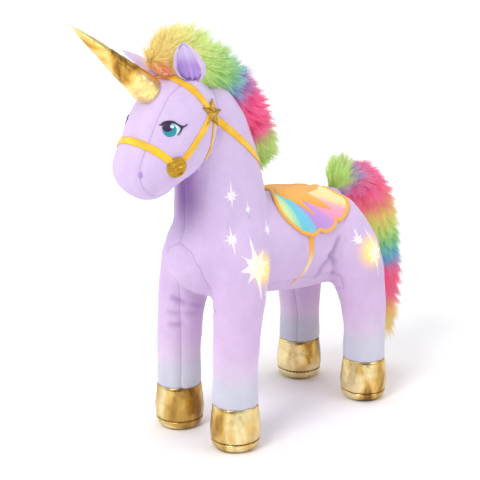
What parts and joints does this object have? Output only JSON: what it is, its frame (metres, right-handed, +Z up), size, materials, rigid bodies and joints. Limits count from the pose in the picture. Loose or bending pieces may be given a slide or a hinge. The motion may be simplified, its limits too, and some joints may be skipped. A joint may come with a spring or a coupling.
{
  "type": "plush unicorn",
  "caption": "Standing plush unicorn with a foil horn and hooves, fur mane and tail, bridle, wing saddle and lights worked from a belly battery case.",
  "frame": {"origin": "middle of the toy's box, on the surface the hooves stand on", "axes": "+Z up, the toy faces -Y and its left side is +X"},
  "size_m": [0.13, 0.4059, 0.381],
  "materials": {
    "plush": "short-pile plush, lavender fading to blue-grey at the cuffs",
    "filling": "polyester fibre",
    "gold_foil": "crackled metallic foil on cloth",
    "lining": "satin",
    "fur": "long-pile rainbow fur",
    "ribbon": "satin ribbon",
    "gold_trim": "brushed gold plating",
    "wing": "printed satin, orange veins and pastel cells",
    "embroidery": "satin-stitch embroidery",
    "plastic": "moulded",
    "cell": "printed sleeve",
    "steel": "zinc plated",
    "board": "solder mask",
    "led": "clear lens",
    "wire": "insulated wire"
  },
  "bodies": {
    "toy": {"body_filling": "filling", "head_filling": "filling", "leg_filling_front_left": "filling", "leg_filling_front_right": "filling", "leg_filling_hind_left": "filling", "leg_filling_hind_right": "filling", "head_gusset": "plush", "head_side_left": "plush", "head_side_right": "plush", "body_side_left": "plush", "body_side_right": "plush", "underbody_gusset": "plush", "hoof_upper_front_left": "gold_foil", "hoof_upper_front_right": "gold_foil", "hoof_upper_hind_left": "gold_foil", "hoof_upper_hind_right": "gold_foil", "hoof_sole_front_left": "gold_foil", "hoof_sole_front_right": "gold_foil", "hoof_sole_hind_left": "gold_foil", "hoof_sole_hind_right": "gold_foil", "mane": "fur", "noseband": "ribbon", "browband": "ribbon", "cheek_strap_left": "ribbon", "cheek_strap_right": "ribbon", "throat_strap_left": "ribbon", "throat_strap_right": "ribbon", "rein_left": "ribbon", "rein_right": "ribbon", "star_badge_left": "gold_trim", "star_badge_right": "gold_trim", "medallion_left": "gold_trim", "medallion_right": "gold_trim", "eye_left": "embroidery", "eye_right": "embroidery", "saddle": "wing", "girth_strap_left": "wing", "girth_strap_right": "wing", "battery_case": "plastic", "battery_cover": "plastic", "cover_screw": "steel", "battery_1": "cell", "battery_2": "cell", "battery_3": "cell", "circuit_board": "board", "led_harness": "wire", "led_chest_left": "led", "led_chest_right": "led", "led_hip_left": "led", "led_hip_right": "led"},
    "tail": {"tail": "fur"},
    "horn": {"horn_cover": "gold_foil", "horn_filling": "filling"},
    "ear_left": {"ear_back_left": "plush", "ear_lining_left": "lining"},
    "ear_right": {"ear_back_right": "plush", "ear_lining_right": "lining"},
    "light_button": {"push_button": "plastic"},
    "belly_flap": {"battery_flap": "plush"}
  },
  "joints": [
    {"name": "tail_lift", "type": "hinge", "parent": "toy", "child": "tail", "pos_m": [0, 0.1206, 0.206], "axis": [1, 0, 0], "range_deg": [0, 40]},
    {"name": "horn_flex", "type": "hinge", "parent": "toy", "child": "horn", "pos_m": [0, -0.1284, 0.326], "axis": [1, 0, 0], "range_deg": [-12, 12], "stiffness_Nm_per_rad": 0.2},
    {"name": "ear_left_bend", "type": "hinge", "parent": "toy", "child": "ear_left", "pos_m": [0.02, -0.0954, 0.3325], "axis": [-0.8636, -0.5021, -0.0448], "range_deg": [-6, 16], "stiffness_Nm_per_rad": 0.02},
    {"name": "ear_right_bend", "type": "hinge", "parent": "toy", "child": "ear_right", "pos_m": [-0.02, -0.0954, 0.3325], "axis": [-0.8615, 0.5009, 0.0834], "range_deg": [-3, 32], "stiffness_Nm_per_rad": 0.02},
    {"name": "light_button_press", "type": "slide", "parent": "toy", "child": "light_button", "axis": [0, 0, 1], "range_m": [0, 0.0015], "stiffness_N_per_m": 300},
    {"name": "belly_flap_open", "type": "hinge", "parent": "toy", "child": "belly_flap", "pos_m": [-0.0202, 0.0266, 0.12597], "axis": [0, 0.9933, -0.1154], "range_deg": [0, 80]}
  ]
}
